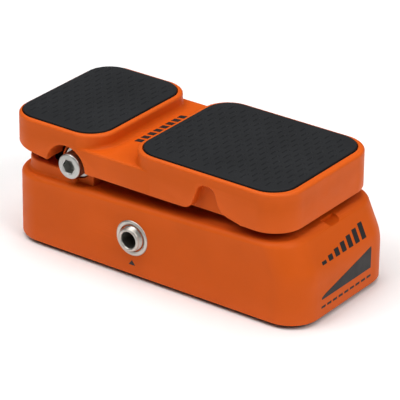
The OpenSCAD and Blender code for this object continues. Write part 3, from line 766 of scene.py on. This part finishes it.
def hinge_screws(steel):
    seat, front, head_r, shank_r, shank_end = 25, 31, 5, 2.98, 12
    teeth, knurl = 48, 0.11

    def heads(mesh):
        profile = [(shank_end, shank_r - 0.5), (shank_end + 0.5, shank_r), (seat, shank_r),
                   (seat, head_r - 0.25), (seat + 0.25, head_r), (front - 0.95, head_r)]
        knurled = (4, 5)
        profile += [(front - drop, head_r - inset) for inset, drop in edge_steps(0.6, 4)]
        profile += [(front, 3.1), (front - 0.12, 2.95)]

        def wobble(number, i):
            return -knurl if number in knurled and i % 2 else 0

        for side in SIDES:
            rings = []
            for number, (out, radius) in enumerate(profile):
                ring = []
                for i in range(2 * teeth):
                    r, a = radius + wobble(number, i), math.pi * i / teeth
                    ring.append(Vector((HINGE.x + r * math.cos(a), side * out, HINGE.z + r * math.sin(a))))
                rings.append(ring)
            add_loft(mesh, rings)

    def sockets(mesh):
        flat = 2.5 / math.cos(math.pi / 6)
        outline = circle(HINGE.x, HINGE.z, flat, 6)
        for side in SIDES:
            add_loft(mesh, across(outline, ((side * (front - 3.2), 0), (side * (front + 1), 0))))

    piece = made("hinge_cap_screws", heads)
    carve(piece, sockets)
    smooth(piece, 35)
    return finish_piece(piece, "treadle", "screw_steel", steel, "hinge_screws")


# ---- Printed marks ----

INK = 0.05


def toe_face_x(z):
    return BASE_HIGH.x - lean(z)


def toe_mark(mesh, outline, steps=10):
    """A thin print on the leaning toe face, from a convex outline (y, z)."""
    low = min(p.y for p in outline)
    high = max(p.y for p in outline)

    def cut_at(z):
        ys = []
        for i, p in enumerate(outline):
            q = outline[(i + 1) % len(outline)]
            if (p.y - z) * (q.y - z) <= 0 and abs(p.y - q.y) > 1e-6:
                ys.append(p.x + (q.x - p.x) * (z - p.y) / (q.y - p.y))
        return min(ys), max(ys)

    rings = []
    for i in range(steps + 1):
        z = low + (high - low) * min(max(i / steps, 0.001), 0.999)
        y0, y1 = cut_at(z)
        x = toe_face_x(z)
        rings.append([Vector((x - 0.1, y0, z)), Vector((x - 0.1, y1, z)),
                      Vector((x + INK, y1, z)), Vector((x + INK, y0, z))])
    add_loft(mesh, rings)


def toe_marks(mesh):
    """A rising row of level bars over a volume wedge and a fine rule."""
    bars, pitch, width, bar_low, bar_top, bar_rise = 7, 4.3, 2.7, 21.6, 22.8, 0.75
    for i in range(bars):
        y = (i - (bars - 1) / 2) * pitch
        toe_mark(mesh, oblong(y - width / 2, y + width / 2, bar_low, bar_top + i * bar_rise))
    half, wedge_low, thin_end, thick_end = 16, 8.8, 10, 17.6
    toe_mark(mesh, [Vector((-half, wedge_low)), Vector((half, wedge_low)),
                    Vector((half, thick_end)), Vector((-half, thin_end))])
    dashes, dash_pitch, dash_half, rule_low, rule_high = 9, 3.7, 1.3, 5.2, 6.1
    for i in range(dashes):
        y = (i - (dashes - 1) / 2) * dash_pitch
        toe_mark(mesh, oblong(y - dash_half, y + dash_half, rule_low, rule_high), 2)


def valley_marks(mesh):
    """A row of slanted bars along the valley."""
    bars, start, pitch, slant, width, x0, x1 = 8, -12.6, 3.8, 1.4, 2.5, -20.3, -14.8
    for i in range(bars):
        y = start + i * pitch
        outline = [Vector((x0, y)), Vector((x0, y + width)),
                   Vector((x1, y + width + slant)), Vector((x1, y + slant))]
        add_loft(mesh, upright(outline, ((VALLEY_Z - 0.1, 0), (VALLEY_Z + INK, 0))))


def jack_marks(mesh):
    """A small triangle under each jack."""
    half, low, high = 1.5, 5.6, 7.6
    for side in SIDES:
        y0, y1 = side * (BASE_HIGH.y - 0.1), side * (BASE_HIGH.y + INK)
        x = JACKS[side].x
        tip = [Vector((x - half, low)), Vector((x + half, low)), Vector((x, high))]
        add_loft(mesh, across(tip, ((y0, 0), (y1, 0))))


# ---- Materials ----

def surface(name, color, roughness, metallic=0.0, grain=0.35, relief=0.01, mottle=0.08, spread=0.06,
            coat=0.0, specular=0.5, painted_edge_highlight=0.0, speck=0.0):
    """A procedural finish: mottled colour, varied roughness, fine relief, an optional painted highlight on edges,
    and dust.
    """
    material = bpy.data.materials.new(name)
    material.use_nodes = True
    nodes, links = material.node_tree.nodes, material.node_tree.links
    shader = nodes["Principled BSDF"]
    shader.inputs["Metallic"].default_value = metallic
    shader.inputs["Coat Weight"].default_value = coat
    shader.inputs["Coat Roughness"].default_value = 0.3
    shader.inputs["Specular IOR Level"].default_value = specular
    place = nodes.new("ShaderNodeTexCoord")

    def noise(size, detail=3.0):
        node = nodes.new("ShaderNodeTexNoise")
        node.inputs["Scale"].default_value = 1 / (size * MM)
        node.inputs["Detail"].default_value = detail
        links.new(place.outputs["Object"], node.inputs["Vector"])
        return node.outputs["Fac"]

    broad = noise(18, 4)
    ramp = nodes.new("ShaderNodeValToRGB")
    ramp.color_ramp.elements[0].position = 0.3
    ramp.color_ramp.elements[1].position = 0.7
    ramp.color_ramp.elements[0].color = [c * (1 - mottle) for c in color] + [1]
    ramp.color_ramp.elements[1].color = [min(1, c * (1 + mottle)) for c in color] + [1]
    links.new(broad, ramp.inputs["Fac"])
    paint = ramp.outputs["Color"]

    def blend(amount, low, high, over, strength):
        ranged = nodes.new("ShaderNodeMapRange")
        ranged.inputs["From Min"].default_value = low
        ranged.inputs["From Max"].default_value = high
        ranged.inputs["To Max"].default_value = strength
        links.new(amount, ranged.inputs["Value"])
        mix = nodes.new("ShaderNodeMix")
        mix.data_type = "RGBA"
        links.new(ranged.outputs["Result"], mix.inputs["Factor"])
        links.new(paint, mix.inputs["A"])
        mix.inputs["B"].default_value = list(over) + [1]
        return mix.outputs["Result"]

    # Painted highlight: edges found by pointiness are lightened to stand in for light caught on rounded edges.
    if painted_edge_highlight:
        geometry = nodes.new("ShaderNodeNewGeometry")
        highlight_colour = [min(1, c * 1.35 + 0.03) for c in color]
        paint = blend(geometry.outputs["Pointiness"], 0.5, 0.6, highlight_colour, painted_edge_highlight)
    if speck:
        paint = blend(noise(0.9, 2), 0.68, 0.74, [c * 0.6 + 0.12 for c in color], speck)
    links.new(paint, shader.inputs["Base Color"])

    rough = nodes.new("ShaderNodeMapRange")
    rough.inputs["From Min"].default_value = 0.3
    rough.inputs["From Max"].default_value = 0.7
    rough.inputs["To Min"].default_value = roughness - spread
    rough.inputs["To Max"].default_value = roughness + spread
    links.new(noise(5, 5), rough.inputs["Value"])
    links.new(rough.outputs["Result"], shader.inputs["Roughness"])

    bump = nodes.new("ShaderNodeBump")
    bump.inputs["Strength"].default_value = 1.0
    bump.inputs["Distance"].default_value = relief * MM
    links.new(noise(grain, 2), bump.inputs["Height"])
    links.new(bump.outputs["Normal"], shader.inputs["Normal"])
    return material


def make_materials():
    steel = (0.47, 0.465, 0.445)
    return {
        # The orange coat gets a painted highlight along its edges through the pointiness blend.
        "casting_paint": surface("powder_coat_orange", (0.635, 0.113, 0.007), 0.46, grain=0.45, relief=0.012,
                                 mottle=0.04, painted_edge_highlight=0.8, speck=0.04, specular=0.14),
        "plate_paint": surface("powder_coat_black", (0.012, 0.012, 0.013), 0.5, grain=0.4, relief=0.02),
        "black_rubber": surface("moulded_rubber", (0.021, 0.022, 0.024), 0.66, grain=0.25, relief=0.02,
                                mottle=0.12, speck=0.05, specular=0.22),
        "screw_steel": surface("bright_steel", steel, 0.38, 1.0, grain=0.3, relief=0.003),
        "zinc_sheet": surface("zinc_plate", (0.55, 0.55, 0.5), 0.38, 1.0,
                              grain=0.8, relief=0.006, mottle=0.15),
        "nickel_plate": surface("nickel", (0.56, 0.54, 0.5), 0.42, 1.0, grain=0.4, relief=0.002, mottle=0.06),
        "black_plastic": surface("black_moulding", (0.012, 0.012, 0.014), 0.45, grain=0.3, relief=0.01),
        "tinned_brass": surface("tinned_lug", (0.62, 0.56, 0.42), 0.35, 1.0,
                                grain=0.4, relief=0.01, mottle=0.15),
        "turned_brass": surface("brass", (0.66, 0.46, 0.18), 0.28, 1.0, grain=0.3, relief=0.004, mottle=0.1),
        "sintered_bronze": surface("bronze", (0.42, 0.27, 0.12), 0.45, 1.0,
                                   grain=0.2, relief=0.015, mottle=0.2),
        "black_oxide_steel": surface("black_oxide", (0.03, 0.03, 0.033), 0.4, 1.0, grain=0.3, relief=0.005),
        "cut_aluminium": surface("aluminium", (0.62, 0.62, 0.62), 0.36, 1.0,
                                 grain=0.5, relief=0.006, mottle=0.06),
        "wire_insulation": surface("wire_pvc", (0.35, 0.03, 0.025), 0.4, grain=0.5, relief=0.006),
        "ink": surface("black_ink", (0.012, 0.012, 0.012), 0.5, grain=0.3, relief=0.006),
    }


def dress_nodes(materials):
    slots = {row["node"]: row["material_slot"] for row in frame["record"]["subparts"]}
    for name, node in frame["nodes"].items():
        node.data.materials.clear()
        node.data.materials.append(materials[slots[name]])


# ---- Stage ----

def stage():
    half, thick = 3000, 5
    square = oblong(-half, half, -half, half)
    floor = made("floor", lambda mesh: add_loft(mesh, upright(square, ((-thick, 0), (0, 0)))))
    pale = surface("pale_floor", (0.95, 0.95, 0.95), 0.6, grain=3, relief=0.01, mottle=0.01)
    floor.data.materials.append(pale)

    world = bpy.data.worlds.new("studio")
    world.use_nodes = True
    background = world.node_tree.nodes["Background"]
    background.inputs["Color"].default_value = (1, 1, 1, 1)
    background.inputs["Strength"].default_value = 0.12
    bpy.context.scene.world = world
    bpy.context.scene.view_settings.view_transform = "Standard"
    bpy.context.scene.view_settings.gamma = 0.9

    lights = (
        ("top", (-0.15, 0.1, 1.6), 1.6, 21),
        ("front", (-0.6, -0.9, 1.5), 1, 12.6),
        ("toe", (1.3, -0.2, 1.2), 0.9, 12.4),
    )
    for name, place, size, power in lights:
        lamp = bpy.data.lights.new("light_" + name, "AREA")
        lamp.size = size
        lamp.energy = power
        item = bpy.data.objects.new("light_" + name, lamp)
        item.location = place
        item.rotation_euler = (Vector((0, 0, 0.02)) - Vector(place)).to_track_quat("-Z", "Y").to_euler()
        bpy.context.scene.collection.objects.link(item)


def camera():
    azimuth, elevation, roll = math.radians(35.827), math.radians(25.849), math.radians(0.649)
    distance = 1060.8
    target = Vector((0, 0, 26.5))
    aim_right, aim_down = 0.75, 3.4
    back = Vector((math.sin(azimuth) * math.cos(elevation), -math.cos(azimuth) * math.cos(elevation),
                   math.sin(elevation)))
    level = Vector((math.cos(azimuth), math.sin(azimuth), 0))
    above = back.cross(level)
    right = level * math.cos(roll) + above * math.sin(roll)
    up = above * math.cos(roll) - level * math.sin(roll)
    place = target + back * distance
    look = (target + right * aim_right - up * aim_down - place).normalized()
    right = look.cross(up).normalized()
    up = right.cross(look)
    item = bpy.data.objects.new("camera", bpy.data.cameras.new("camera"))
    item.data.sensor_width = 36
    item.data.lens = 256.1
    item.data.clip_end = 20
    item.matrix_world = Matrix.Translation(place * MM) @ Matrix((right, up, -look)).transposed().to_4x4()
    bpy.context.scene.collection.objects.link(item)
    bpy.context.scene.camera = item


camera()
stage()
materials = make_materials()
dress_nodes(materials)
build_base(materials["casting_paint"])
build_treadle(materials["casting_paint"])
pad_piece("heel_pad_rubber", "heel_pad", HEEL_PAD_LOW, HEEL_PAD_HIGH, materials["black_rubber"])
pad_piece("toe_pad_rubber", "toe_pad", TOE_PAD_LOW, TOE_PAD_HIGH, materials["black_rubber"])
for side, jack in ((-1, "input_jack"), (1, "output_jack")):
    jack_bushing(jack + "_sleeve", side, materials["nickel_plate"])
    jack_nut(jack + "_ring_nut", side, materials["nickel_plate"])
hinge_screws(materials["screw_steel"])
for name, build, body in (("toe_print", toe_marks, "base"), ("valley_print", valley_marks, "treadle"),
                          ("jack_print", jack_marks, "base")):
    finish_piece(made(name, build), body, "plate_paint", materials["ink"])
